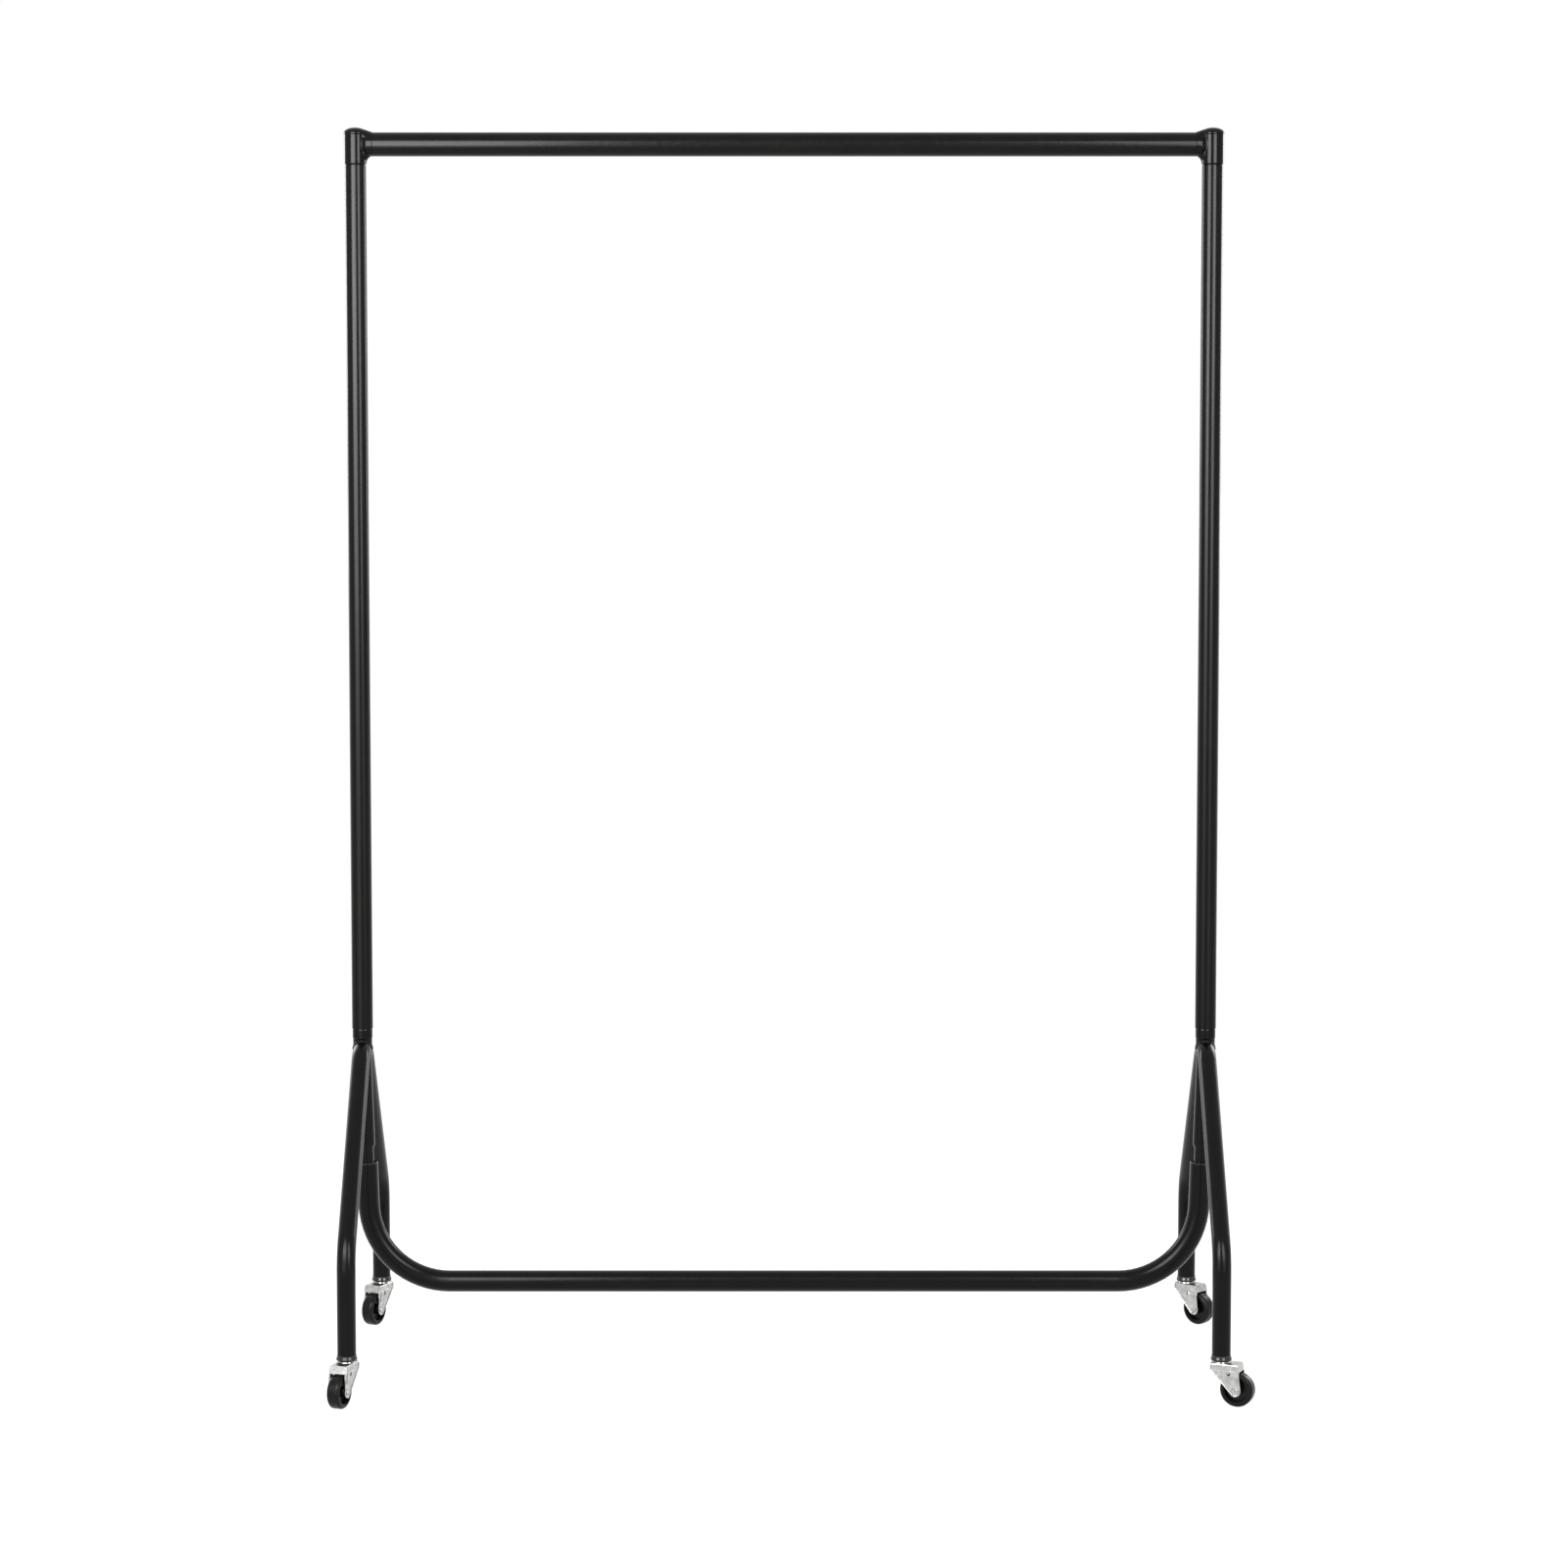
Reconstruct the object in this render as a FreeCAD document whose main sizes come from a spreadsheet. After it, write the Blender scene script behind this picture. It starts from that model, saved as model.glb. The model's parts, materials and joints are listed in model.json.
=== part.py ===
import FreeCAD, Part
import math
import os
import re
import Sketcher

# Rolling clothes rack. Millimetres, +Z up, origin on the floor midway between the four casters.
# +X runs along the hanging rail to the right, and -Y is the front.

DIMENSIONS = {
    # Overall frame
    "half_width": 625.0,  # from the middle to an upright's axis
    "half_depth": 254.0,  # from the middle to a caster's swivel axis
    "seam": 2.0,  # shadow groove under an elbow
    "slip": 0.1,  # radial clearance of a push fit
    # Hanging rail and uprights
    "rail_height": 1802.4,
    "rail_radius": 17.5,
    "rail_bore": 16.0,
    "upright_radius": 15.5,
    "upright_bore": 14.2,
    "upright_bottom": 502.0,
    "upright_top": 1772.0,
    # Corner elbows
    "sleeve_radius": 16.5,
    "cap_radius": 17.1,
    "cap_height": 1818.0,
    "dome_height": 1827.0,
    "dome_crown": 1.0,  # rise from the cap's edge to the middle of the dome
    "dome_round": 6.0,
    "arm_reach": 26.5,
    "neck_radius": 13.0,  # the arm is slimmer where it leaves the sleeve
    "neck_reach": 10.0,
    "flare_reach": 17.0,
    "gusset_radius": 11.0,
    "gusset_curve": 12.0,  # radius of the gusset's edge in front view
    "gusset_foot": 28.2,  # how far below the rail's axis the gusset starts
    "gusset_sweep": 78.0,  # degrees
    "groove_radius": 15.1,
    "spigot_length": 45.0,
    "lead_in": 1.5,
    # Leg tubes, one inverted V at each end of the rack
    "leg_radius": 13.5,
    "leg_bore": 12.2,
    "crest_height": 471.5,
    "crest_bend": 43.0,
    "knee_bend": 72.0,
    "leg_slope": 42.6,  # degrees from vertical
    "leg_end": 72.0,
    # Stub and bushing that carry each upright
    "stub_radius": 14.2,
    "stub_neck_radius": 12.7,
    "stub_bore": 11.2,
    "stub_shoulder": 486.0,
    "stub_top": 556.0,
    "collar_radius": 14.8,
    "collar_bevel": 1.0,
    "bushing_top": 546.0,
    # Centre post, which leans in a little towards the base rail
    "post_lean": 1.8,  # degrees
    "post_radius": 12.7,
    "post_wall": 1.5,
    "post_shoulder": 144.0,  # lengths down the post are measured from the crest's centre
    "post_neck": 151.0,
    "post_neck_radius": 10.0,
    "post_length": 198.0,
    # Base rail and the bush in each of its upturned ends
    "base_height": 120.9,
    "base_radius": 15.75,
    "base_bore": 14.25,
    "base_bend": 120.0,
    "mouth_depth": 172.6,
    "bush_lip": 1.8,
    "bush_length": 24.0,
    # Casters
    "trail": 24.8,
    "axle_height": 24.5,
    "socket_bottom": 64.0,
    "socket_waist": 14.0,
    "socket_rim": 15.2,
    "socket_top": 104.0,
    "stem_radius": 5.5,
    "stem_hole": 5.55,
    "stem_bottom": 54.5,
    "stem_head_top": 56.0,
    "stem_head_radius": 9.0,
    "stem_top": 98.0,
    "grip_groove": 0.7,
    "grip_bottom": 92.0,
    "grip_top": 95.0,
    "ball_radius": 1.75,
    "ball_circle": 7.4,
    "ball_height": 58.0,
    "cover_radius": 13.0,
    "cover_bottom": 62.3,
    "fork_top": 62.0,
    "fork_plate": 1.6,
    "fork_half_width": 13.0,
    "fork_back": -12.5,
    "fork_front": 28.0,
    "fork_skirt": 52.5,
    "fork_nose": 51.0,
    "fork_eye_radius": 8.0,
    "eye_angle": 50.0,  # degrees below level where the back edge runs into the eye
    "fork_round": 2.2,
    "emboss": 0.7,  # how far the rib stands out of each side plate
    "rib_back": -1.0,
    "rib_front": 25.0,
    "rib_top": 52.0,
    "rib_toe": 26.8,
    "rib_bottom": 36.5,
    "peep_hole_reach": 15.0,
    "peep_hole_height": 48.5,
    "peep_hole_radius": 2.7,
    "axle_radius": 3.0,
    "axle_head_radius": 4.6,
    "axle_head": 1.8,
    "wheel_radius": 24.5,
    "tyre_half_width": 9.5,
    "tyre_round": 4.5,
    "rim_radius": 19.0,
    "rim_half_width": 8.4,
    "web_half_width": 2.2,
    "boss_radius": 6.6,
    "boss_half_width": 11.0,
    "bore_radius": 3.05,
}

BALL_COUNT = 10
NEAR = 0.01  # mm, how close counts as the same place when edges are picked
SHORT_EDGE = 1.0  # mm, and anything shorter is left sharp
ALIAS = re.compile(r"\b(" + "|".join(DIMENSIONS) + r")\b")
SIDES = {"left": -1, "right": 1}
ENDS = {"front": -1, "rear": 1}
# Where each caster's wheel trails at rest, in degrees about +Z from +X.
SWIVELS = {
    ("left", "front"): -110.0,
    ("right", "front"): -24.0,
    ("left", "rear"): -114.0,
    ("right", "rear"): -44.0,
}

doc = FreeCAD.newDocument("rolling_clothes_rack")
sheet = doc.addObject("Spreadsheet::Sheet", "dims")
for row, (alias, size) in enumerate(DIMENSIONS.items(), start=1):
    sheet.set(f"A{row}", alias)
    sheet.set(f"B{row}", str(size))
    sheet.setAlias(f"B{row}", alias)
doc.recompute()

nodes = []


# ---- Drawing helpers. Every size is an expression on the sheet, written with its aliases. ----


def on_sheet(text):
    """Turn the aliases in an expression into references to the sheet."""
    return ALIAS.sub(r"dims.\1", text)


def value(text):
    """The number that an expression on the sheet stands for."""
    return float(sheet.evalExpression(on_sheet(text)))


def bind(thing, attribute, text):
    thing.setExpression(attribute, on_sheet(text))


def new_body(name):
    body = doc.addObject("PartDesign::Body", name)
    body.Label = name
    nodes.append(body)
    return body


def origin_plane(body, role):
    return [item for item in body.Origin.OriginFeatures if item.Role == role][0]


def new_sketch(body, name, plane, lift="0"):
    """A sketch on one of the body's own origin planes, moved along its normal by lift."""
    sketch = body.newObject("Sketcher::SketchObject", f"{body.Name}_{name}")
    sketch.AttachmentSupport = (origin_plane(body, plane), [""])
    sketch.MapMode = "FlatFace"
    bind(sketch, "AttachmentOffset.Base.z", lift)
    return sketch


def measure(sketch, kind, where, text):
    """Add a dimensional constraint that follows an expression."""
    index = sketch.addConstraint(Sketcher.Constraint(kind, *where, value(text)))
    bind(sketch, f"Constraints[{index}]", text)


def measure_slope(sketch, line, text):
    """Hold a line at an angle, in degrees, from the sketch's horizontal."""
    index = sketch.addConstraint(Sketcher.Constraint("Angle", line, math.radians(value(text))))
    bind(sketch, f"Constraints[{index}]", f"({text}) * 1 deg")


def pin(sketch, curve, end, x, y):
    """Hold one point of a curve at (x, y) from the sketch's origin."""
    measure(sketch, "DistanceX", (-1, 1, curve, end), x)
    measure(sketch, "DistanceY", (-1, 1, curve, end), y)


def vector(x, y):
    return FreeCAD.Vector(value(x), value(y), 0)


def outline(body, name, plane, points):
    """A closed outline of straight edges through points, each a pair of expressions."""
    sketch = new_sketch(body, name, plane)
    spots = [vector(x, y) for x, y in points]
    for start, end in zip(spots, spots[1:] + spots[:1]):
        sketch.addGeometry(Part.LineSegment(start, end), False)
    for index, (x, y) in enumerate(points):
        previous = (index - 1) % len(points)
        sketch.addConstraint(Sketcher.Constraint("Coincident", previous, 2, index, 1))
        pin(sketch, index, 1, x, y)
    return sketch


def circles(body, name, plane, centre, radii, lift="0"):
    """Concentric circles, so two of them make a tube's section."""
    sketch = new_sketch(body, name, plane, lift)
    for index, radius in enumerate(radii):
        circle = Part.Circle(vector(*centre), FreeCAD.Vector(0, 0, 1), value(radius))
        sketch.addGeometry(circle, False)
        pin(sketch, index, 3, *centre)
        measure(sketch, "Radius", (index,), radius)
    return sketch


def add_axis(sketch, start, end):
    """A construction line to turn a profile about."""
    index = sketch.addGeometry(Part.LineSegment(vector(*start), vector(*end)), True)
    pin(sketch, index, 1, *start)
    pin(sketch, index, 2, *end)


def turn(body, sketch, axis, angle="360", name="turn"):
    feature = body.newObject("PartDesign::Revolution", f"{body.Name}_{name}")
    feature.Profile = sketch
    feature.ReferenceAxis = (sketch, [axis])
    bind(feature, "Angle", angle)


def pad(body, sketch, length, name="pad", both_ways=False):
    feature = body.newObject("PartDesign::Pad", f"{body.Name}_{name}")
    feature.Profile = sketch
    bind(feature, "Length", length)
    feature.Midplane = both_ways


def cut_through(body, sketch, length, name):
    """Cut the sketch half of length to each side, and check that material went."""
    doc.recompute()
    before = body.Shape.Volume
    feature = body.newObject("PartDesign::Pocket", f"{body.Name}_{name}")
    feature.Profile = sketch
    bind(feature, "Length", length)
    feature.Midplane = True
    doc.recompute()
    if body.Shape.Volume >= before:
        raise RuntimeError(f"{body.Name} {name} cuts nothing")


def sweep(body, section, path, mirror_plane):
    """Sweep a section along half of a bent tube and mirror it in the plane where it starts."""
    pipe = body.newObject("PartDesign::AdditivePipe", f"{body.Name}_sweep")
    pipe.Profile = section
    pipe.Spine = path
    doc.recompute()
    mirror = body.newObject("PartDesign::Mirrored", f"{body.Name}_mirror")
    mirror.Originals = [pipe]
    mirror.MirrorPlane = (origin_plane(body, mirror_plane), [""])
    body.Tip = mirror


def round_edges(body, radius, wanted, name="round"):
    """Fillet the edges of the body that the test picks out."""
    doc.recompute()
    base = body.Tip
    picked = [f"Edge{i}" for i, edge in enumerate(base.Shape.Edges, start=1) if wanted(edge)]
    if not picked:
        raise RuntimeError(f"{body.Name} {name} finds no edge")
    fillet = body.newObject("PartDesign::Fillet", f"{body.Name}_{name}")
    fillet.Base = (base, picked)
    bind(fillet, "Radius", radius)


def level_edge(height):
    """A test for an edge that lies level at one height."""
    level = value(height)

    def wanted(edge):
        if edge.Length < SHORT_EDGE:
            return False
        heights = [vertex.Z for vertex in edge.Vertexes] + [edge.CenterOfMass.z]
        return all(abs(z - level) < NEAR for z in heights)

    return wanted


def place(thing, x, y, z="0", angle="0", axis=(0, 0, 1)):
    """Put a sub-part in the rack, turned about one axis, which the first placement sets."""
    thing.Placement = FreeCAD.Placement(
        FreeCAD.Vector(0, 0, 0), FreeCAD.Rotation(FreeCAD.Vector(*axis), 1.0)
    )
    bind(thing, "Placement.Base.x", x)
    bind(thing, "Placement.Base.y", y)
    bind(thing, "Placement.Base.z", z)
    bind(thing, "Placement.Rotation.Angle", angle)


# ---- Upper frame: hanging rail, corner elbows and uprights ----


def make_top_rail():
    body = new_body("top_rail")
    section = circles(body, "section", "YZ_Plane", ("0", "0"), ["rail_radius", "rail_bore"])
    pad(body, section, "2 * (half_width - arm_reach)", both_ways=True)
    place(body, "0", "0", "rail_height")


def make_elbow(side):
    """Moulded corner: a capped sleeve, an arm that meets the rail, and a spigot into each tube."""
    body = new_body(f"{side}_corner_elbow")
    spigot = "(upright_bore - slip)"
    foot = "(upright_top - spigot_length)"
    post = outline(
        body,
        "sleeve_profile",
        "XZ_Plane",
        [
            ("0", foot),
            (f"{spigot} - lead_in", foot),
            (spigot, f"{foot} + lead_in"),
            (spigot, "upright_top"),
            ("groove_radius", "upright_top"),
            ("groove_radius", "upright_top + seam"),
            ("sleeve_radius", "upright_top + seam"),
            ("sleeve_radius", "cap_height - lead_in"),
            ("cap_radius", "cap_height"),
            ("cap_radius", "dome_height - dome_crown"),
            ("0", "dome_height"),
        ],
    )
    turn(body, post, "V_Axis", name="sleeve")
    reach = "(arm_reach + spigot_length)"
    plug = "(rail_bore - slip)"
    arm = outline(
        body,
        "arm_profile",
        "XZ_Plane",
        [
            ("0", "rail_height"),
            ("0", "rail_height + neck_radius"),
            ("neck_reach", "rail_height + neck_radius"),
            ("flare_reach", "rail_height + rail_radius"),
            ("arm_reach", "rail_height + rail_radius"),
            ("arm_reach", f"rail_height + {plug}"),
            (f"{reach} - lead_in", f"rail_height + {plug}"),
            (reach, f"rail_height + {plug} - lead_in"),
            (reach, "rail_height"),
        ],
    )
    add_axis(arm, ("0", "rail_height"), ("arm_reach", "rail_height"))
    turn(body, arm, "Axis0", name="arm")
    bend = circles(
        body,
        "gusset_section",
        "XY_Plane",
        ("gusset_foot - gusset_curve - gusset_radius", "0"),
        ["gusset_radius"],
        lift="rail_height - gusset_foot",
    )
    add_axis(bend, ("gusset_foot", "0"), ("gusset_foot", "arm_reach"))
    turn(body, bend, "Axis0", angle="gusset_sweep", name="gusset")
    round_edges(body, "dome_round", level_edge("dome_height - dome_crown"))
    place(body, f"{SIDES[side]} * half_width", "0", angle="0" if side == "left" else "180")


def make_upright(side):
    body = new_body(f"{side}_upright")
    section = circles(body, "section", "XY_Plane", ("0", "0"), ["upright_radius", "upright_bore"])
    pad(body, section, "upright_top - upright_bottom")
    place(body, f"{SIDES[side]} * half_width", "0", "upright_bottom")


# ---- Lower frame: stub, bushing, leg tube, centre post, bush and base rail ----


def make_stub(side):
    """Steel stub welded on the crest of the leg tube; its mouth is coped to fit the tube."""
    body = new_body(f"{side}_upright_stub")
    profile = outline(
        body,
        "profile",
        "XZ_Plane",
        [
            ("stub_bore", "0"),
            ("stub_radius", "0"),
            ("stub_radius", "stub_shoulder - crest_height"),
            ("stub_neck_radius", "stub_shoulder - crest_height"),
            ("stub_neck_radius", "stub_top - crest_height"),
            ("stub_bore", "stub_top - crest_height"),
        ],
    )
    turn(body, profile, "V_Axis")
    cope(body)
    place(body, f"{SIDES[side]} * half_width", "0", "crest_height")


def cope(body):
    """Saddle cut that fits the crest of the leg tube, whose centre is the body's origin."""
    front, up, left = FreeCAD.Vector(0, -1, 0), FreeCAD.Vector(0, 0, 1), FreeCAD.Vector(-1, 0, 0)
    cutter = body.newObject("PartDesign::SubtractiveTorus", f"{body.Name}_cope")
    bind(cutter, "Radius1", "crest_bend")
    bind(cutter, "Radius2", "leg_radius + slip")
    cutter.Angle3 = 180
    cutter.Placement = FreeCAD.Placement(FreeCAD.Vector(), FreeCAD.Rotation(front, up, left, "XYZ"))
    bind(cutter, "Placement.Base.z", "-crest_bend")


def make_bushing(side):
    """Glossy plastic collar under the upright, with a sleeve between the upright and its stub."""
    body = new_body(f"{side}_upright_bushing")
    profile = outline(
        body,
        "profile",
        "XZ_Plane",
        [
            ("stub_neck_radius + slip", "stub_shoulder"),
            ("collar_radius - collar_bevel", "stub_shoulder"),
            ("collar_radius", "stub_shoulder + 2 * collar_bevel"),
            ("collar_radius", "upright_bottom - 2 * collar_bevel"),
            ("collar_radius - collar_bevel / 2", "upright_bottom"),
            ("upright_bore - slip", "upright_bottom"),
            ("upright_bore - slip", "bushing_top"),
            ("stub_neck_radius + slip", "bushing_top"),
        ],
    )
    turn(body, profile, "V_Axis")
    place(body, f"{SIDES[side]} * half_width", "0")


def make_leg_tube(side):
    """One bent tube from the front caster over the crest to the rear caster."""
    body = new_body(f"{side}_leg_tube")
    section = circles(body, "section", "XZ_Plane", ("0", "crest_height"), ["leg_radius", "leg_bore"])
    path = new_sketch(body, "path", "YZ_Plane")
    slope = math.radians(value("leg_slope"))
    crest, knee = value("crest_bend"), value("knee_bend")
    depth, top = value("half_depth"), value("crest_height")
    corner_height = top + crest * (1 / math.sin(slope) - 1) - depth / math.tan(slope)
    back = knee * math.tan(slope / 2)
    normal = FreeCAD.Vector(math.cos(slope), math.sin(slope), 0)
    crest_centre = FreeCAD.Vector(0, top - crest, 0)
    knee_centre = FreeCAD.Vector(depth - knee, corner_height - back, 0)
    up = FreeCAD.Vector(0, 0, 1)
    path.addGeometry(Part.ArcOfCircle(Part.Circle(crest_centre, up, crest), slope, math.pi / 2), False)
    path.addGeometry(Part.LineSegment(crest_centre + normal * crest, knee_centre + normal * knee), False)
    path.addGeometry(Part.ArcOfCircle(Part.Circle(knee_centre, up, knee), 0, slope), False)
    foot = FreeCAD.Vector(depth, value("leg_end"), 0)
    path.addGeometry(Part.LineSegment(FreeCAD.Vector(depth, corner_height - back, 0), foot), False)
    for joint in ((0, 1, 1, 1), (1, 2, 2, 2), (2, 1, 3, 1)):
        path.addConstraint(Sketcher.Constraint("Tangent", *joint))
    path.addConstraint(Sketcher.Constraint("Vertical", 3))
    pin(path, 0, 2, "0", "crest_height")
    measure(path, "DistanceX", (-1, 1, 0, 3), "0")
    measure(path, "Radius", (0,), "crest_bend")
    measure(path, "Radius", (2,), "knee_bend")
    pin(path, 3, 2, "half_depth", "leg_end")
    measure_slope(path, 1, "leg_slope - 90")
    sweep(body, section, path, "XZ_Plane")
    place(body, f"{SIDES[side]} * half_width", "0")


def make_centre_post(side):
    """Tube under the crest, coped at the top and drawn down to a neck at the bottom."""
    body = new_body(f"{side}_centre_post")
    profile = outline(
        body,
        "profile",
        "XZ_Plane",
        [
            ("post_radius - post_wall", "0"),
            ("post_radius", "0"),
            ("post_radius", "-post_shoulder"),
            ("post_neck_radius", "-post_neck"),
            ("post_neck_radius", "-post_length"),
            ("post_neck_radius - post_wall", "-post_length"),
            ("post_neck_radius - post_wall", "-post_neck"),
            ("post_radius - post_wall", "-post_shoulder"),
        ],
    )
    turn(body, profile, "V_Axis")
    cope(body)
    lean(body, side)


def lean(body, side):
    """Hang a piece from the crest's centre on the line of the leaning post."""
    place(
        body, f"{SIDES[side]} * half_width", "0", "crest_height", f"{SIDES[side]} * post_lean", axis=(0, 1, 0)
    )


def make_post_bush(side):
    """Plastic bush in the mouth of the base rail's arm, which grips the post's neck."""
    body = new_body(f"{side}_post_bush")
    profile = outline(
        body,
        "profile",
        "XZ_Plane",
        [
            ("post_neck_radius + slip", "bush_lip - mouth_depth"),
            ("base_radius - bush_lip / 2", "bush_lip - mouth_depth"),
            ("base_radius", "bush_lip / 2 - mouth_depth"),
            ("base_radius", "-mouth_depth"),
            ("base_bore - slip", "-mouth_depth"),
            ("base_bore - slip", "-mouth_depth - bush_length"),
            ("post_neck_radius + slip", "-mouth_depth - bush_length"),
        ],
    )
    turn(body, profile, "V_Axis")
    lean(body, side)


def make_base_rail():
    """Bent tube along the bottom whose two ends turn up to meet the centre posts."""
    body = new_body("base_rail")
    section = circles(body, "section", "YZ_Plane", ("0", "base_height"), ["base_radius", "base_bore"])
    path = new_sketch(body, "path", "XZ_Plane")
    tilt = math.radians(value("post_lean"))
    bend, low, high = value("base_bend"), value("base_height"), value("crest_height")
    corner = value("half_width") - (high - low) * math.tan(tilt)
    back = bend * math.tan((math.pi / 2 - tilt) / 2)
    along = FreeCAD.Vector(math.sin(tilt), math.cos(tilt), 0)
    bend_start = FreeCAD.Vector(corner - back, low, 0)
    bend_end = FreeCAD.Vector(corner, low, 0) + along * back
    mouth = FreeCAD.Vector(value("half_width"), high, 0) - along * value("mouth_depth")
    circle = Part.Circle(bend_start + FreeCAD.Vector(0, bend, 0), FreeCAD.Vector(0, 0, 1), bend)
    path.addGeometry(Part.LineSegment(FreeCAD.Vector(0, low, 0), bend_start), False)
    path.addGeometry(Part.ArcOfCircle(circle, -math.pi / 2, -tilt), False)
    path.addGeometry(Part.LineSegment(bend_end, mouth), False)
    path.addConstraint(Sketcher.Constraint("Horizontal", 0))
    path.addConstraint(Sketcher.Constraint("Tangent", 0, 2, 1, 1))
    path.addConstraint(Sketcher.Constraint("Tangent", 1, 2, 2, 1))
    pin(path, 0, 1, "0", "base_height")
    measure(path, "Radius", (1,), "base_bend")
    measure_slope(path, 2, "90 - post_lean")
    pin(
        path,
        2,
        2,
        "half_width - mouth_depth * sin(post_lean)",
        "crest_height - mouth_depth * cos(post_lean)",
    )
    sweep(body, section, path, "YZ_Plane")


# ---- Casters. Each piece is drawn about its own axis and then set at its corner. ----


def make_stem_socket(corner, x, y):
    """Plastic socket in the leg's end, with a flared flange under the tube."""
    body = new_body(f"{corner}_stem_socket")
    profile = outline(
        body,
        "profile",
        "XZ_Plane",
        [
            ("stem_hole", "socket_bottom"),
            ("socket_waist", "socket_bottom"),
            ("socket_rim", "socket_bottom + lead_in"),
            ("socket_rim", "socket_bottom + 2 * lead_in"),
            ("socket_waist", "leg_end - lead_in"),
            ("socket_waist", "leg_end"),
            ("leg_bore - slip", "leg_end"),
            ("leg_bore - slip", "socket_top - lead_in"),
            ("leg_bore - slip - lead_in", "socket_top"),
            ("stem_hole", "socket_top"),
        ],
    )
    turn(body, profile, "V_Axis")
    place(body, x, y)


def make_stem(corner, x, y):
    """Steel stem with a grip groove near its tip and a riveted head that carries the balls."""
    body = new_body(f"{corner}_caster_stem")
    profile = outline(
        body,
        "profile",
        "XZ_Plane",
        [
            ("0", "stem_bottom"),
            ("stem_head_radius - lead_in", "stem_bottom"),
            ("stem_head_radius", "stem_head_top - lead_in / 2"),
            ("stem_head_radius", "stem_head_top"),
            ("stem_radius", "stem_head_top"),
            ("stem_radius", "grip_bottom"),
            ("stem_radius - grip_groove", "grip_bottom"),
            ("stem_radius - grip_groove", "grip_top"),
            ("stem_radius", "grip_top"),
            ("stem_radius - lead_in", "stem_top"),
            ("0", "stem_top"),
        ],
    )
    turn(body, profile, "V_Axis")
    place(body, x, y)


def make_race_cover(corner, x, y):
    """Pressed washer between the socket and the fork."""
    body = new_body(f"{corner}_race_cover")
    profile = outline(
        body,
        "profile",
        "XZ_Plane",
        [
            ("stem_hole", "cover_bottom"),
            ("cover_radius", "cover_bottom"),
            ("cover_radius - lead_in / 2", "socket_bottom"),
            ("stem_hole", "socket_bottom"),
        ],
    )
    turn(body, profile, "V_Axis")
    place(body, x, y)


def make_balls(corner, x, y, angle):
    """Ring of loose balls between the stem's head and the fork's top plate."""
    balls = []
    for index in range(BALL_COUNT):
        ball = doc.addObject("Part::Sphere", f"{corner}_ball_{index + 1}")
        bind(ball, "Radius", "ball_radius")
        step = 360.0 / BALL_COUNT * index
        place(ball, f"ball_circle * cos({step})", f"ball_circle * sin({step})", "ball_height")
        balls.append(ball)
    ring = doc.addObject("Part::Compound", f"{corner}_race_balls")
    ring.Label = f"{corner}_race_balls"
    ring.Links = balls
    nodes.append(ring)
    place(ring, x, y, angle=angle)


def make_fork(corner, x, y, angle):
    """Pressed steel fork: a top plate, a short front wall and two side plates down to the axle."""
    body = new_body(f"{corner}_caster_fork")
    width = "2 * fork_half_width"
    right_through = f"{width} + 4 * emboss"
    plate = outline(
        body,
        "side_outline",
        "XZ_Plane",
        [
            ("fork_back", "fork_top"),
            ("fork_front", "fork_top"),
            ("fork_front + fork_round", "fork_nose"),
            ("trail + fork_eye_radius", "axle_height"),
            (
                "trail - fork_eye_radius * cos(eye_angle)",
                "axle_height - fork_eye_radius * sin(eye_angle)",
            ),
            ("fork_back", "fork_skirt"),
        ],
    )
    pad(body, plate, width, "plates", both_ways=True)
    eye = circles(body, "eye", "XZ_Plane", ("trail", "axle_height"), ["fork_eye_radius"])
    pad(body, eye, width, "eyes", both_ways=True)
    along_top = level_edge("fork_top")
    beside = value("fork_half_width") / 2

    def crease(edge):
        return along_top(edge) and abs(edge.CenterOfMass.y) > beside

    round_edges(body, "fork_round", crease)
    rib = outline(
        body,
        "rib_outline",
        "XZ_Plane",
        [
            ("rib_back", "rib_top"),
            ("rib_front", "rib_top"),
            ("rib_toe", "rib_bottom"),
        ],
    )
    pad(body, rib, f"{width} + 2 * emboss", "rib", both_ways=True)
    channel = outline(
        body,
        "channel_outline",
        "XZ_Plane",
        [
            ("2 * fork_back", "0"),
            ("2 * fork_front", "0"),
            ("2 * fork_front", "fork_nose"),
            ("fork_front + fork_round - fork_plate", "fork_nose"),
            ("fork_front - fork_plate", "fork_top - fork_plate"),
            ("2 * fork_back", "fork_top - fork_plate"),
        ],
    )
    cut_through(body, channel, f"{width} - 2 * fork_plate", "channel")
    hole = circles(body, "axle_hole", "XZ_Plane", ("trail", "axle_height"), ["bore_radius"])
    cut_through(body, hole, right_through, "axle_bore")
    spot = ("peep_hole_reach", "peep_hole_height")
    peep = circles(body, "peep_hole", "XZ_Plane", spot, ["peep_hole_radius"])
    cut_through(body, peep, right_through, "peep_bore")
    king = circles(body, "stem_hole", "XY_Plane", ("0", "0"), ["stem_hole"], lift="fork_top")
    cut_through(body, king, "4 * fork_plate", "stem_bore")
    place(body, x, y, angle=angle)


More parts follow.
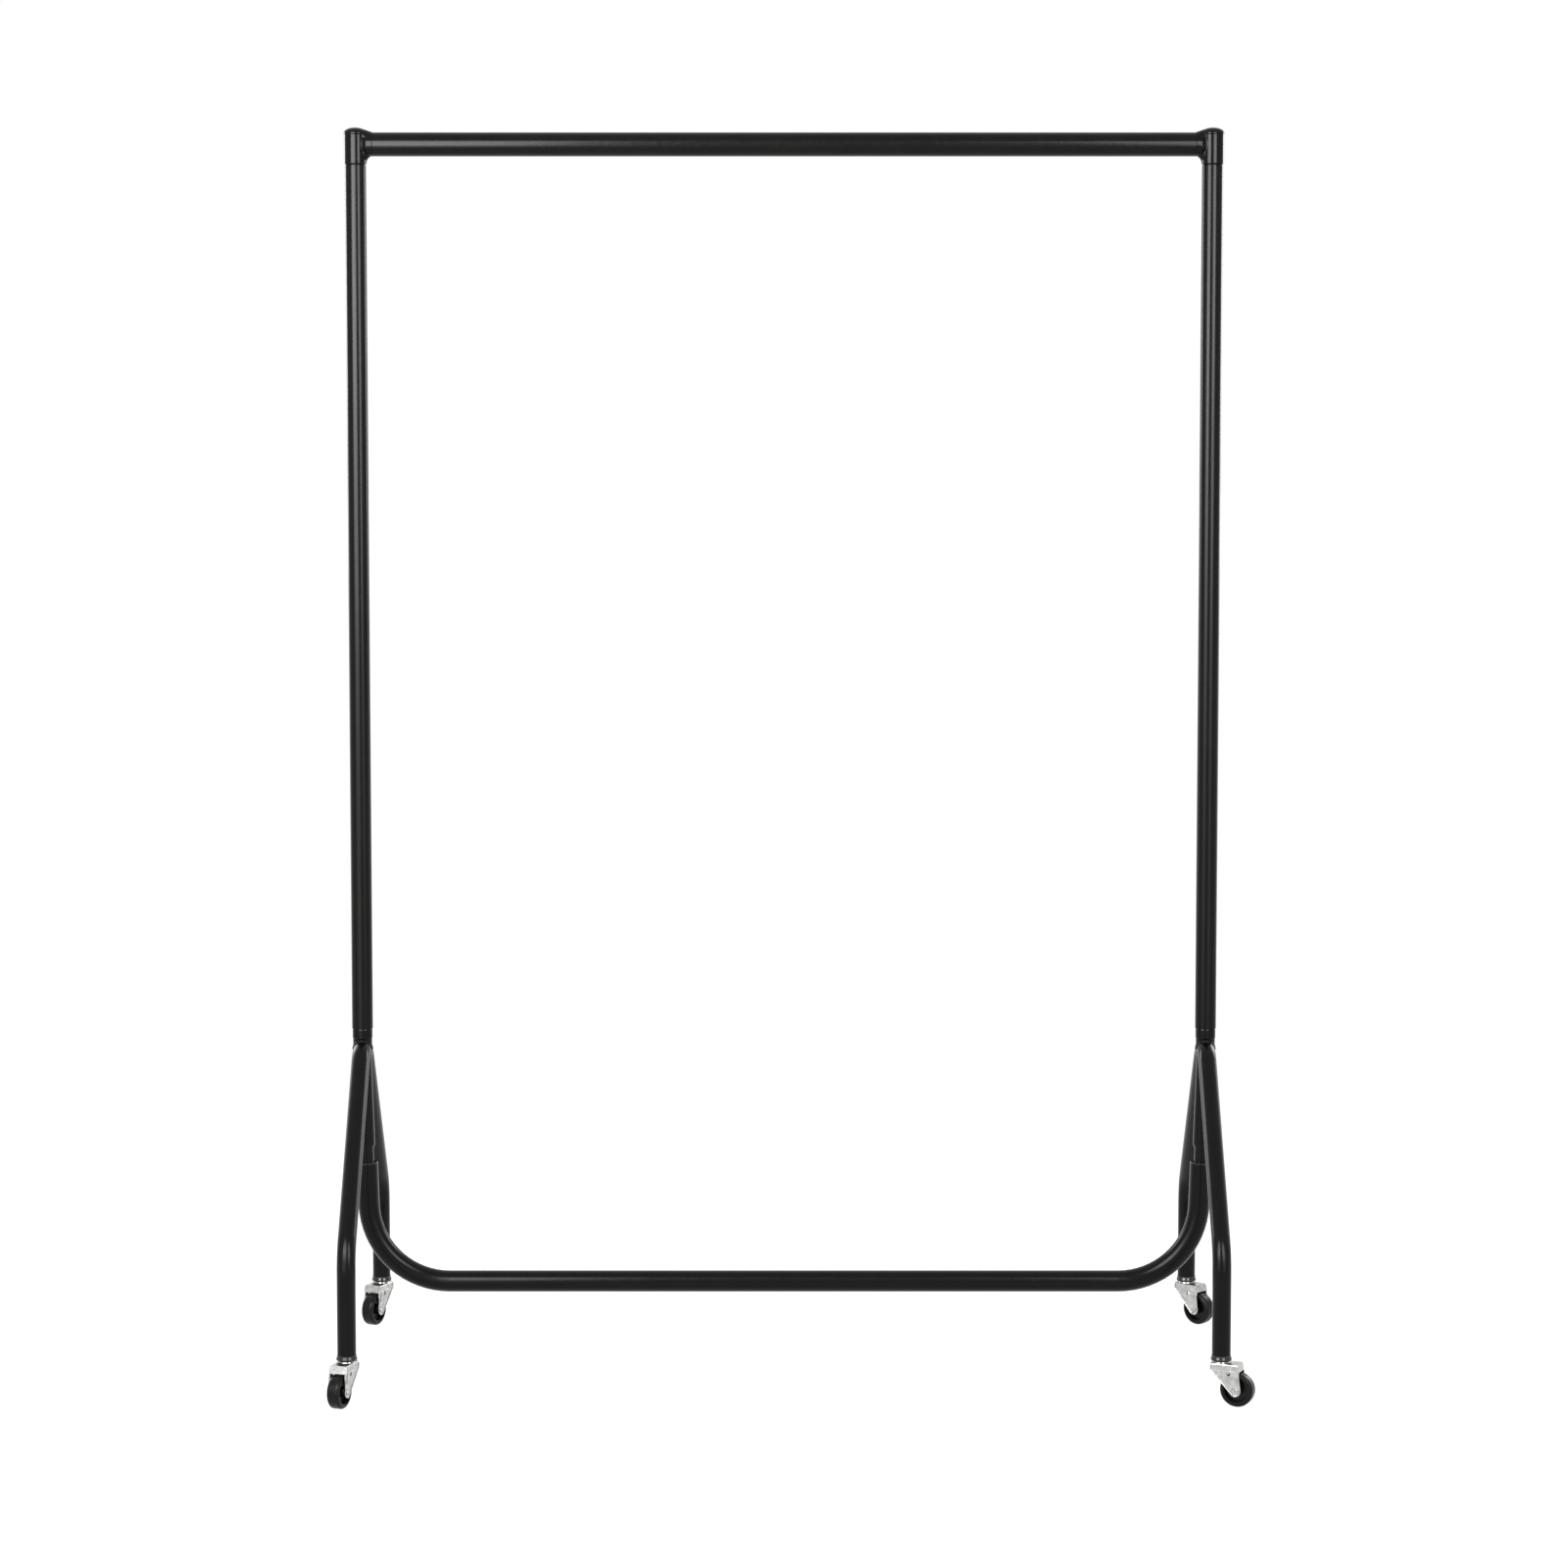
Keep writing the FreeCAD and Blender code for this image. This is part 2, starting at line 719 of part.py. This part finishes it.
def make_axle(corner, x, y, angle):
    """Riveted axle with a head outside each side plate."""
    body = new_body(f"{corner}_axle_rivet")
    reach = "fork_half_width"
    profile = outline(
        body,
        "profile",
        "YZ_Plane",
        [
            (f"-{reach} - axle_head", "0"),
            (f"-{reach} - axle_head", "axle_head_radius - axle_head / 2"),
            (f"-{reach} - axle_head / 2", "axle_head_radius"),
            (f"-{reach}", "axle_head_radius"),
            (f"-{reach}", "axle_radius"),
            (reach, "axle_radius"),
            (reach, "axle_head_radius"),
            (f"{reach} + axle_head / 2", "axle_head_radius"),
            (f"{reach} + axle_head", "axle_head_radius - axle_head / 2"),
            (f"{reach} + axle_head", "0"),
        ],
    )
    turn(body, profile, "H_Axis")
    place(body, x, y, "axle_height", angle)


def make_wheel_hub(corner, x, y, angle):
    """Moulded wheel centre: a boss on the axle, a web and a rim."""
    body = new_body(f"{corner}_wheel_hub")
    half = [
        ("boss_half_width", "bore_radius"),
        ("boss_half_width", "boss_radius"),
        ("web_half_width", "boss_radius + lead_in"),
        ("web_half_width", "rim_radius - 2 * lead_in"),
        ("rim_half_width", "rim_radius - lead_in"),
        ("rim_half_width", "rim_radius"),
    ]
    other = [(f"-{y_place}", radius) for y_place, radius in reversed(half)]
    profile = outline(body, "profile", "YZ_Plane", half + other)
    turn(body, profile, "H_Axis")
    place(body, x, y, "axle_height", angle)


def make_tyre(corner, x, y, angle):
    """Soft tread round the rim, well rounded at both shoulders."""
    body = new_body(f"{corner}_tyre")
    profile = outline(
        body,
        "profile",
        "YZ_Plane",
        [
            ("-tyre_half_width", "rim_radius"),
            ("-tyre_half_width", "wheel_radius"),
            ("tyre_half_width", "wheel_radius"),
            ("tyre_half_width", "rim_radius"),
        ],
    )
    turn(body, profile, "H_Axis")
    rim = value("wheel_radius")

    def shoulder(edge):
        return abs(edge.BoundBox.ZMax - rim) < NEAR and edge.BoundBox.YLength < NEAR

    round_edges(body, "tyre_round", shoulder)
    place(body, x, y, "axle_height", angle)


def make_caster(side, end):
    corner = f"{side}_{end}"
    angle = SWIVELS[side, end]
    x = f"{SIDES[side]} * half_width"
    y = f"{ENDS[end]} * half_depth"
    make_stem_socket(corner, x, y)
    make_stem(corner, x, y)
    make_race_cover(corner, x, y)
    make_balls(corner, x, y, str(angle))
    make_fork(corner, x, y, str(angle))
    wheel_x = f"{x} + trail * cos({angle})"
    wheel_y = f"{y} + trail * sin({angle})"
    make_axle(corner, wheel_x, wheel_y, str(angle))
    make_wheel_hub(corner, wheel_x, wheel_y, str(angle))
    make_tyre(corner, wheel_x, wheel_y, str(angle))


# ---- Assembly, checks and export ----

make_top_rail()
make_base_rail()
for side in SIDES:
    make_elbow(side)
    make_upright(side)
    make_stub(side)
    make_bushing(side)
    make_leg_tube(side)
    make_centre_post(side)
    make_post_bush(side)
    for end in ENDS:
        make_caster(side, end)
doc.recompute()

for item in doc.Objects:
    if "Invalid" in item.State or "Error" in item.State:
        raise RuntimeError(f"{item.Label} failed: {item.State}")
for node in nodes:
    if node.Shape.isNull() or not node.Shape.isValid():
        raise RuntimeError(f"{node.Label} has no valid shape")

os.makedirs("parts", exist_ok=True)
for node in nodes:
    node.Shape.exportStep(f"parts/{node.Label}.step")
print(f"{len(nodes)} parts written")
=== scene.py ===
import json
import math

import bmesh
import bpy
from mathutils import Matrix, Vector


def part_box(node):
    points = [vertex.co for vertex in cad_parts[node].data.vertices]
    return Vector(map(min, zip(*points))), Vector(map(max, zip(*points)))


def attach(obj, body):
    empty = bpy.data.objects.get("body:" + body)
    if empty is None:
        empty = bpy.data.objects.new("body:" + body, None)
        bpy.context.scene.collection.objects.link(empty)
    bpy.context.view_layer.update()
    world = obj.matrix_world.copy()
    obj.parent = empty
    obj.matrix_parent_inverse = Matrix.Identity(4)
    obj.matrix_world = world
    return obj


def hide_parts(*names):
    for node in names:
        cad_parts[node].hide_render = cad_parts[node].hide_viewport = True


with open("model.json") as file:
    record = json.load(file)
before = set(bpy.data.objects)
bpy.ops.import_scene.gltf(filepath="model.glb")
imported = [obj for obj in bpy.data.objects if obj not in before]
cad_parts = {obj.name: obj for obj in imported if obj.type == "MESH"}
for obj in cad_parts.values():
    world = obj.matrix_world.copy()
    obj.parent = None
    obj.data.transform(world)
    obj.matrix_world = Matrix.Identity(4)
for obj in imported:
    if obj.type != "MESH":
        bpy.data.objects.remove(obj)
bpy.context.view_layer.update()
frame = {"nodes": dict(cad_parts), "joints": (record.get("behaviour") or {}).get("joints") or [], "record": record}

# Rolling clothes rack, in metres, +Z up, with -Y the front and +X to the right.
SIDES = {"left": -1, "right": 1}
ENDS = {"front": -1, "rear": 1}
NODES = frame["nodes"]
COLLECTION = bpy.context.scene.collection

# ---- Places, read from the frame where a box gives them ----


def middle(node):
    low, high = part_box(node)
    return (low + high) / 2


def joint(name):
    return next(j for j in frame["joints"] if j["name"] == name)


RAIL_AXIS = middle("top_rail").z
RAIL_RADIUS = (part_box("top_rail")[1].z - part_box("top_rail")[0].z) / 2
RAIL_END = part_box("top_rail")[1].x
LEG_RADIUS = (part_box("left_leg_tube")[1].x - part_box("left_leg_tube")[0].x) / 2
CREST_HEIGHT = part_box("left_leg_tube")[1].z - LEG_RADIUS
CREST_BEND = 0.043  # radius of the leg tube's centre line over the crest
STUB_RADIUS = (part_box("left_upright_stub")[1].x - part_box("left_upright_stub")[0].x) / 2
POST_RADIUS = 0.0127
POST_LEAN = math.radians(1.8)  # towards the rack's middle as it goes down

# ---- Camera, lights and floor ----

CAMERA_PLACE = (0.0, -5.98, 1.486)
CAMERA_LENS = 93.5
CAMERA_SENSOR = 36.0
CAMERA_SHIFT = -0.06
HORIZON_RISE = 0.2690  # from the photo's middle up to the horizon, as a share of its width


def make_camera():
    data = bpy.data.cameras.new("camera")
    data.lens = CAMERA_LENS
    data.sensor_width = CAMERA_SENSOR
    data.shift_y = CAMERA_SHIFT
    camera = bpy.data.objects.new("camera", data)
    COLLECTION.objects.link(camera)
    camera.location = CAMERA_PLACE
    pitch = math.atan((HORIZON_RISE + CAMERA_SHIFT) * CAMERA_SENSOR / CAMERA_LENS)
    camera.rotation_euler = (math.pi / 2 - pitch, 0, 0)
    bpy.context.scene.camera = camera


# Each softbox dims towards the floor. A band has the heights of its bottom and top, and its share.
SOFTBOX_BANDS = ((1.35, 3.1, 1.0), (1.0, 1.35, 0.6), (0.7, 1.0, 0.2), (0.1, 0.7, 0.1))
SOFTBOX_SPREAD = math.radians(120)


def softbox(name, place, width, aim_x, lean, radiance):
    """A tall light made of bands. It leans sideways by lean metres for each metre up."""
    x, y, level = place
    for index, (bottom, top, share) in enumerate(SOFTBOX_BANDS):
        height, centre = top - bottom, (top + bottom) / 2
        data = bpy.data.lights.new(f"{name}_{index}", "AREA")
        data.shape = "RECTANGLE"
        data.size = width
        data.size_y = height
        data.spread = SOFTBOX_SPREAD
        data.energy = math.pi * radiance * share * width * height
        light = bpy.data.objects.new(data.name, data)
        COLLECTION.objects.link(light)
        light.location = (x + lean * (centre - level), y, centre)
        turn = Vector((aim_x - x, -y, 0)).to_track_quat("-Z", "Y").to_matrix().to_4x4()
        roll = Matrix.Rotation(-math.atan(lean), 4, "Z")
        light.rotation_euler = (turn @ roll).to_euler()
        light.visible_camera = False


def make_lights():
    softbox("key_softbox", (-1.22, -2.0, 2.0), width=1.6, aim_x=-0.4, lean=0.06, radiance=9.4)
    softbox("fill_softbox", (1.36, -2.35, 1.9), width=1.2, aim_x=0.3, lean=-0.2, radiance=7.0)
    for side, sign in SIDES.items():
        place = (sign * 2.9, 2.3, 1.9)
        aim_x = sign * 0.3
        softbox(f"{side}_rear_softbox", place, width=1.2, aim_x=aim_x, lean=0.0, radiance=4.0)


def make_world():
    """Plain white all round, as in a light tent."""
    world = bpy.data.worlds.new("studio")
    bpy.context.scene.world = world
    world.use_nodes = True
    sky = world.node_tree.nodes["Background"]
    sky.inputs["Color"].default_value = (1, 1, 1, 1)
    sky.inputs["Strength"].default_value = 1.0


FLOOR_HALF = 40.0
FLOOR_SHADE = 0.14
FLOOR_GLOW = 0.91  # enough to meet the white around it


def make_floor():
    mesh = bpy.data.meshes.new("floor")
    corners = [(-1, -1), (1, -1), (1, 1), (-1, 1)]
    mesh.from_pydata([(x * FLOOR_HALF, y * FLOOR_HALF, 0) for x, y in corners], [], [(0, 1, 2, 3)])
    floor = bpy.data.objects.new("floor", mesh)
    COLLECTION.objects.link(floor)
    material, shader = new_material("pale_floor")
    shader.inputs["Base Color"].default_value = (FLOOR_SHADE, FLOOR_SHADE, FLOOR_SHADE, 1)
    shader.inputs["Roughness"].default_value = 0.9
    shader.inputs["Specular IOR Level"].default_value = 0.1
    shader.inputs["Emission Color"].default_value = (1, 1, 1, 1)
    shader.inputs["Emission Strength"].default_value = FLOOR_GLOW
    mesh.materials.append(material)


# ---- Materials ----

# The part of a noise's range that is stretched over a colour or a value.
NOISE_LOW = 0.3
NOISE_HIGH = 0.7
COLOUR_DETAIL = 3.0
GLOSS_DETAIL = 4.0
RELIEF_DETAIL = 2.0


def new_material(name):
    material = bpy.data.materials.new(name)
    material.use_nodes = True
    return material, material.node_tree.nodes["Principled BSDF"]


def noise(tree, scale, detail):
    """Noise on the object's own coordinates, which are in metres. Scale is waves per metre."""
    place = tree.nodes.new("ShaderNodeTexCoord")
    texture = tree.nodes.new("ShaderNodeTexNoise")
    texture.inputs["Scale"].default_value = scale
    texture.inputs["Detail"].default_value = detail
    tree.links.new(place.outputs["Object"], texture.inputs["Vector"])
    return texture.outputs["Fac"]


def spread(tree, source, low, high):
    """Stretch a noise over a range of values."""
    node = tree.nodes.new("ShaderNodeMapRange")
    node.inputs["From Min"].default_value = NOISE_LOW
    node.inputs["From Max"].default_value = NOISE_HIGH
    node.inputs["To Min"].default_value = low
    node.inputs["To Max"].default_value = high
    tree.links.new(source, node.inputs["Value"])
    return node.outputs["Result"]


def tint(tree, source, low, high):
    """Stretch a noise between two colours."""
    ramp = tree.nodes.new("ShaderNodeValToRGB")
    ramp.color_ramp.elements[0].position = NOISE_LOW
    ramp.color_ramp.elements[1].position = NOISE_HIGH
    ramp.color_ramp.elements[0].color = (*low, 1)
    ramp.color_ramp.elements[1].color = (*high, 1)
    tree.links.new(source, ramp.inputs["Fac"])
    return ramp.outputs["Color"]


def bump(tree, source, height, under):
    """Relief of this height in metres, over the normal of an earlier layer."""
    node = tree.nodes.new("ShaderNodeBump")
    node.inputs["Distance"].default_value = height
    node.inputs["Strength"].default_value = 1.0
    tree.links.new(source, node.inputs["Height"])
    if under:
        tree.links.new(under, node.inputs["Normal"])
    return node.outputs["Normal"]


# Each finish: two colours and the scale of their patches, the range of roughness and its scale, and
# layers of relief as (scale, height in metres).
FINISHES = {
    "black_powder_coat": {
        "colours": ((0.0009, 0.0009, 0.0008), (0.0016, 0.0016, 0.0014)),
        "patch": 22,
        "rough": (0.17, 0.23),
        "rough_scale": 160,
        "relief": ((420, 0.000008), (1500, 0.000002)),
        "specular": 0.13,
    },
    "gloss_black_plastic": {
        "colours": ((0.0009, 0.0009, 0.0009), (0.0016, 0.0016, 0.0015)),
        "patch": 60,
        "rough": (0.10, 0.15),
        "rough_scale": 220,
        "relief": ((120, 0.00003), (2000, 0.000002)),
        "specular": 0.12,
    },
    "matte_black_plastic": {
        "colours": ((0.0018, 0.0018, 0.0018), (0.003, 0.003, 0.0029)),
        "patch": 90,
        "rough": (0.14, 0.20),
        "rough_scale": 300,
        "relief": ((1600, 0.000002),),
        "specular": 0.5,
    },
    "zinc_plated_steel": {
        "colours": ((0.33, 0.335, 0.325), (0.54, 0.545, 0.525)),
        "patch": 140,
        "rough": (0.12, 0.26),
        "rough_scale": 420,
        "relief": ((900, 0.00001), (3200, 0.000002)),
        "metallic": 1.0,
    },
    "bearing_steel": {
        "colours": ((0.62, 0.63, 0.65), (0.72, 0.73, 0.74)),
        "patch": 200,
        "rough": (0.06, 0.12),
        "rough_scale": 600,
        "relief": ((2600, 0.000002),),
        "metallic": 1.0,
    },
    "wheel_plastic": {
        "colours": ((0.0018, 0.0018, 0.0018), (0.003, 0.003, 0.0029)),
        "patch": 80,
        "rough": (0.24, 0.36),
        "rough_scale": 350,
        "relief": ((1500, 0.000006),),
        "specular": 0.17,
    },
    "wheel_tread": {
        "colours": ((0.0016, 0.0016, 0.0016), (0.0028, 0.0027, 0.0026)),
        "patch": 120,
        "rough": (0.22, 0.34),
        "rough_scale": 260,
        "relief": ((700, 0.000012), (2600, 0.000004)),
        "specular": 0.16,
    },
}


def make_material(name, look):
    """A finish with uneven colour and gloss and one or more layers of fine relief."""
    material, shader = new_material(name)
    tree = material.node_tree
    colour = tint(tree, noise(tree, look["patch"], COLOUR_DETAIL), *look["colours"])
    gloss = spread(tree, noise(tree, look["rough_scale"], GLOSS_DETAIL), *look["rough"])
    normal = None
    for scale, height in look["relief"]:
        normal = bump(tree, noise(tree, scale, RELIEF_DETAIL), height, normal)
    tree.links.new(colour, shader.inputs["Base Color"])
    tree.links.new(gloss, shader.inputs["Roughness"])
    tree.links.new(normal, shader.inputs["Normal"])
    shader.inputs["Metallic"].default_value = look.get("metallic", 0.0)
    shader.inputs["Specular IOR Level"].default_value = look.get("specular", 0.5)
    return material


def dress_nodes(materials):
    """Give each CAD node the finish of its slot."""
    for part in frame["record"]["subparts"]:
        node = NODES[part["node"]]
        node.data.materials.clear()
        node.data.materials.append(materials[part["material_slot"]])


# ---- Pieces modelled here ----


def add_piece(name, mesh, materials, slot, body):
    piece = bpy.data.objects.new(name, mesh)
    COLLECTION.objects.link(piece)
    mesh.materials.clear()
    mesh.materials.append(materials[slot])
    for face in mesh.polygons:
        face.use_smooth = True
    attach(piece, body)
    return piece


ROPE_SIDES = 10
ROPE_UP = Vector((0.31, 0.17, 0.94))  # no bead runs this way, so it always gives a cross direction


def rope_mesh(name, points, radius, closed=True, ripple=0.0, ripples=0):
    """A round bead that follows points, with optional ripples like a weld's."""
    sides = ROPE_SIDES
    mesh = bpy.data.meshes.new(name)
    rings, count = [], len(points)
    for index, point in enumerate(points):
        ahead = points[(index + 1) % count if closed else min(index + 1, count - 1)]
        behind = points[index - 1 if closed or index else 0]
        along = (ahead - behind).normalized()
        across = along.cross(ROPE_UP).normalized()
        over = along.cross(across)
        size = radius * (1 + ripple * math.sin(2 * math.pi * ripples * index / count))
        turns = [2 * math.pi * k / sides for k in range(sides)]
        rings.append([point + size * (across * math.cos(t) + over * math.sin(t)) for t in turns])
    faces = []
    for index in range(count if closed else count - 1):
        here, there = index * sides, (index + 1) % count * sides
        for k in range(sides):
            after = (k + 1) % sides
            faces.append((here + k, here + after, there + after, there + k))
    if not closed:
        faces.append(tuple(reversed(range(sides))))
        faces.append(tuple(range((count - 1) * sides, count * sides)))
    mesh.from_pydata([v for ring in rings for v in ring], [], faces)
    repair = bmesh.new()
    repair.from_mesh(mesh)
    bmesh.ops.recalc_face_normals(repair, faces=repair.faces)
    repair.to_mesh(mesh)
    repair.free()
    return mesh


WELD_STEPS = 96
WELD_BEAD = 0.0015
WELD_RIPPLE = 0.12  # as a share of the bead's radius
WELD_RIPPLES = 22


def saddle(radius, above):
    """The line where an upright tube meets the crest of a leg tube, about the crest's centre."""
    points = []
    for step in range(WELD_STEPS):
        turn = 2 * math.pi * step / WELD_STEPS
        x, y = radius * math.cos(turn), radius * math.sin(turn)
        depth = math.sqrt(max(LEG_RADIUS**2 - x * x, 0))
        reach = CREST_BEND + depth if above else CREST_BEND - depth
        points.append(Vector((x, y, math.sqrt(reach * reach - y * y) - CREST_BEND)))
    return points


def make_welds(side, materials):
    """Weld beads round the stub above the crest and round the centre post below it."""
    crest = Vector((middle(f"{side}_leg_tube").x, 0, CREST_HEIGHT))
    lean = Matrix.Rotation(SIDES[side] * POST_LEAN, 3, "Y")
    for name, line in (
        ("stub_weld", [crest + point for point in saddle(STUB_RADIUS, True)]),
        ("post_weld", [crest + lean @ point for point in saddle(POST_RADIUS, False)]),
    ):
        mesh = rope_mesh(
            f"{side}_{name}", line, WELD_BEAD, ripple=WELD_RIPPLE, ripples=WELD_RIPPLES
        )
        add_piece(mesh.name, mesh, materials, "black_powder_coat", "frame")


SHOULDER_TOP = 0.0100  # from the upright's axis in to where the shoulder leaves the dome
SHOULDER_ARC = 0.0120  # radius of its rounded top there
SHOULDER_DROP = 0.0016  # from the dome's top down to it
SHOULDER_LAP = 0.0004
SHOULDER_STEPS = 24
ELBOW_VOXEL = 0.0005
ELBOW_SMOOTHING = 4
MERGE_GAP = 1e-6
DOME_HEIGHT = 0.010
DOME_POWER = 2.1  # 2 is an ellipse, and more is squarer
DOME_REACH = 1.01  # the dome takes in points out to this share of the sleeve's radius
SEAM_HALF = 0.0014
SEAM_DEPTH = 0.0040
SEAM_MIDDLE = 0.0010  # above the upright's end
SEAM_REACH = 1.02


def shoulder_mesh(side):
    """The moulded slope from the elbow's dome down to the top of the rail, as a closed wedge."""
    sign = SIDES[side]
    axis_x = middle(f"{side}_upright").x
    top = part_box(f"{side}_corner_elbow")[1].z - SHOULDER_DROP
    shape = bmesh.new()
    sections = (
        (axis_x - sign * SHOULDER_TOP, top - SHOULDER_ARC, SHOULDER_ARC),
        (sign * (RAIL_END + SHOULDER_LAP), RAIL_AXIS, RAIL_RADIUS),
    )
    for x, z, radius in sections:
        for step in range(SHOULDER_STEPS + 1):
            turn = math.pi * step / SHOULDER_STEPS
            shape.verts.new((x, radius * math.cos(turn), z + radius * math.sin(turn)))
    bmesh.ops.convex_hull(shape, input=shape.verts)
    wedge = bpy.data.meshes.new("wedge")
    shape.to_mesh(wedge)
    shape.free()
    return wedge


def remeshed(mesh, smoothing):
    """The mesh as one even skin. The mesh given is removed."""
    draft = bpy.data.objects.new("draft", mesh)
    COLLECTION.objects.link(draft)
    remesh = draft.modifiers.new("remesh", "REMESH")
    remesh.mode = "VOXEL"
    remesh.voxel_size = ELBOW_VOXEL
    smooth = draft.modifiers.new("smooth", "SMOOTH")
    smooth.factor = 0.5
    smooth.iterations = smoothing
    bpy.context.view_layer.update()
    seen = draft.evaluated_get(bpy.context.evaluated_depsgraph_get())
    skin = bpy.data.meshes.new_from_object(seen)
    bpy.data.objects.remove(draft)
    bpy.data.meshes.remove(mesh)
    return skin


def round_dome(mesh, axis_x, radius, top):
    """Draw the cap's corner in to a rounder dome about the upright's axis."""
    base = top - DOME_HEIGHT
    for vertex in mesh.vertices:
        out = Vector((vertex.co.x - axis_x, vertex.co.y))
        if vertex.co.z <= base or out.length > radius * DOME_REACH:
            continue
        rise = (vertex.co.z - base) / DOME_HEIGHT
        reach = ((out.length / radius) ** DOME_POWER + rise**DOME_POWER) ** (1 / DOME_POWER)
        if reach > 1:
            vertex.co = (axis_x + out.x / reach, out.y / reach, base + DOME_HEIGHT * rise / reach)


def cut_seam(mesh, axis_x, radius, height):
    """Deepen the shadow groove under the elbow to a V."""
    for vertex in mesh.vertices:
        out = Vector((vertex.co.x - axis_x, vertex.co.y))
        depth = SEAM_DEPTH * (1 - abs(vertex.co.z - height) / SEAM_HALF)
        if depth > 0 and radius - SEAM_DEPTH < out.length < radius * SEAM_REACH:
            out *= min(1, (radius - depth) / out.length)
            vertex.co = (axis_x + out.x, out.y, vertex.co.z)


def mesh_of(name, *parts):
    """One mesh that holds everything in parts."""
    both = bmesh.new()
    for part in parts:
        both.from_mesh(part)
    mesh = bpy.data.meshes.new(name)
    both.to_mesh(mesh)
    both.free()
    return mesh


def merged(source):
    """A copy of a mesh with the points that coincide made one, as the voxel remesh needs."""
    shape = bmesh.new()
    shape.from_mesh(source)
    bmesh.ops.remove_doubles(shape, verts=shape.verts, dist=MERGE_GAP)
    mesh = bpy.data.meshes.new("merged")
    shape.to_mesh(mesh)
    shape.free()
    return mesh


def make_elbow(side, materials):
    """The corner fitting as one moulding, with soft blends where its walls meet."""
    upright_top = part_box(f"{side}_upright")[1].z
    axis_x = middle(f"{side}_upright").x
    low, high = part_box(f"{side}_corner_elbow")
    radius = (high.y - low.y) / 2
    capped = remeshed(merged(NODES[f"{side}_corner_elbow"].data), 0)
    round_dome(capped, axis_x, radius, high.z)
    wedge = shoulder_mesh(side)
    joined = mesh_of("joined", capped, wedge)
    bpy.data.meshes.remove(wedge)
    bpy.data.meshes.remove(capped)
    mesh = remeshed(joined, ELBOW_SMOOTHING)
    cut_seam(mesh, axis_x, radius, upright_top + SEAM_MIDDLE)
    mesh.name = f"{side}_elbow_moulding"
    piece = add_piece(mesh.name, mesh, materials, "gloss_black_plastic", "frame")
    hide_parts(f"{side}_corner_elbow")


RIM_BEAD = 0.0009
RIM_STAND = 0.0132  # from the wheel's middle plane to the rim bead's centre
RIM_STEP = 0.0012
EYE_RADIUS = 0.0076
EYE_ARC = (230, 360)  # where the rim bends round the axle, in degrees
EYE_STEPS = 12


def fork_outline():
    """The V of a fork's side plate, as distances behind the swivel axis and heights."""
    eye = Vector((0.0248, 0.0245))
    first, last = EYE_ARC
    tip = []
    for step in range(EYE_STEPS + 1):
        turn = math.radians(first + step * (last - first) / EYE_STEPS)
        tip.append(eye + EYE_RADIUS * Vector((math.cos(turn), math.sin(turn))))
    leading = [Vector((-0.0118, 0.0600)), Vector((-0.0118, 0.0527))]
    trailing = [Vector((0.0292, 0.0510)), Vector((0.0274, 0.0600))]
    return leading + tip + trailing


def between(points, gap):
    """The same line with points no further apart than gap."""
    out = [points[0]]
    for start, end in zip(points, points[1:]):
        count = max(1, math.ceil((end - start).length / gap))
        out += [start.lerp(end, (k + 1) / count) for k in range(count)]
    return out


def make_fork_rims(corner, materials):
    """The turned edge along both side plates of a fork."""
    pin = joint(f"{corner}_swivel_turn")["pos_m"]
    wheel = joint(f"{corner}_wheel_spin")["pos_m"]
    trail = Vector((wheel[0] - pin[0], wheel[1] - pin[1], 0)).normalized()
    across = Vector((-trail.y, trail.x, 0))
    base = Vector((pin[0], pin[1], 0))
    for name, sign in (("inner", -1), ("outer", 1)):
        line = [
            base + trail * p.x + across * (sign * RIM_STAND) + Vector((0, 0, p.y))
            for p in between(fork_outline(), RIM_STEP)
        ]
        mesh = rope_mesh(f"{corner}_fork_rim_{name}", line, RIM_BEAD, closed=False)
        add_piece(mesh.name, mesh, materials, "zinc_plated_steel", f"{corner}_swivel")


# ---- Making it ----

bpy.context.scene.view_settings.view_transform = "Standard"
make_camera()
make_world()
make_lights()
make_floor()
materials = {name: make_material(name, look) for name, look in FINISHES.items()}
dress_nodes(materials)
for side in SIDES:
    make_elbow(side, materials)
    make_welds(side, materials)
    for end in ENDS:
        make_fork_rims(f"{side}_{end}", materials)
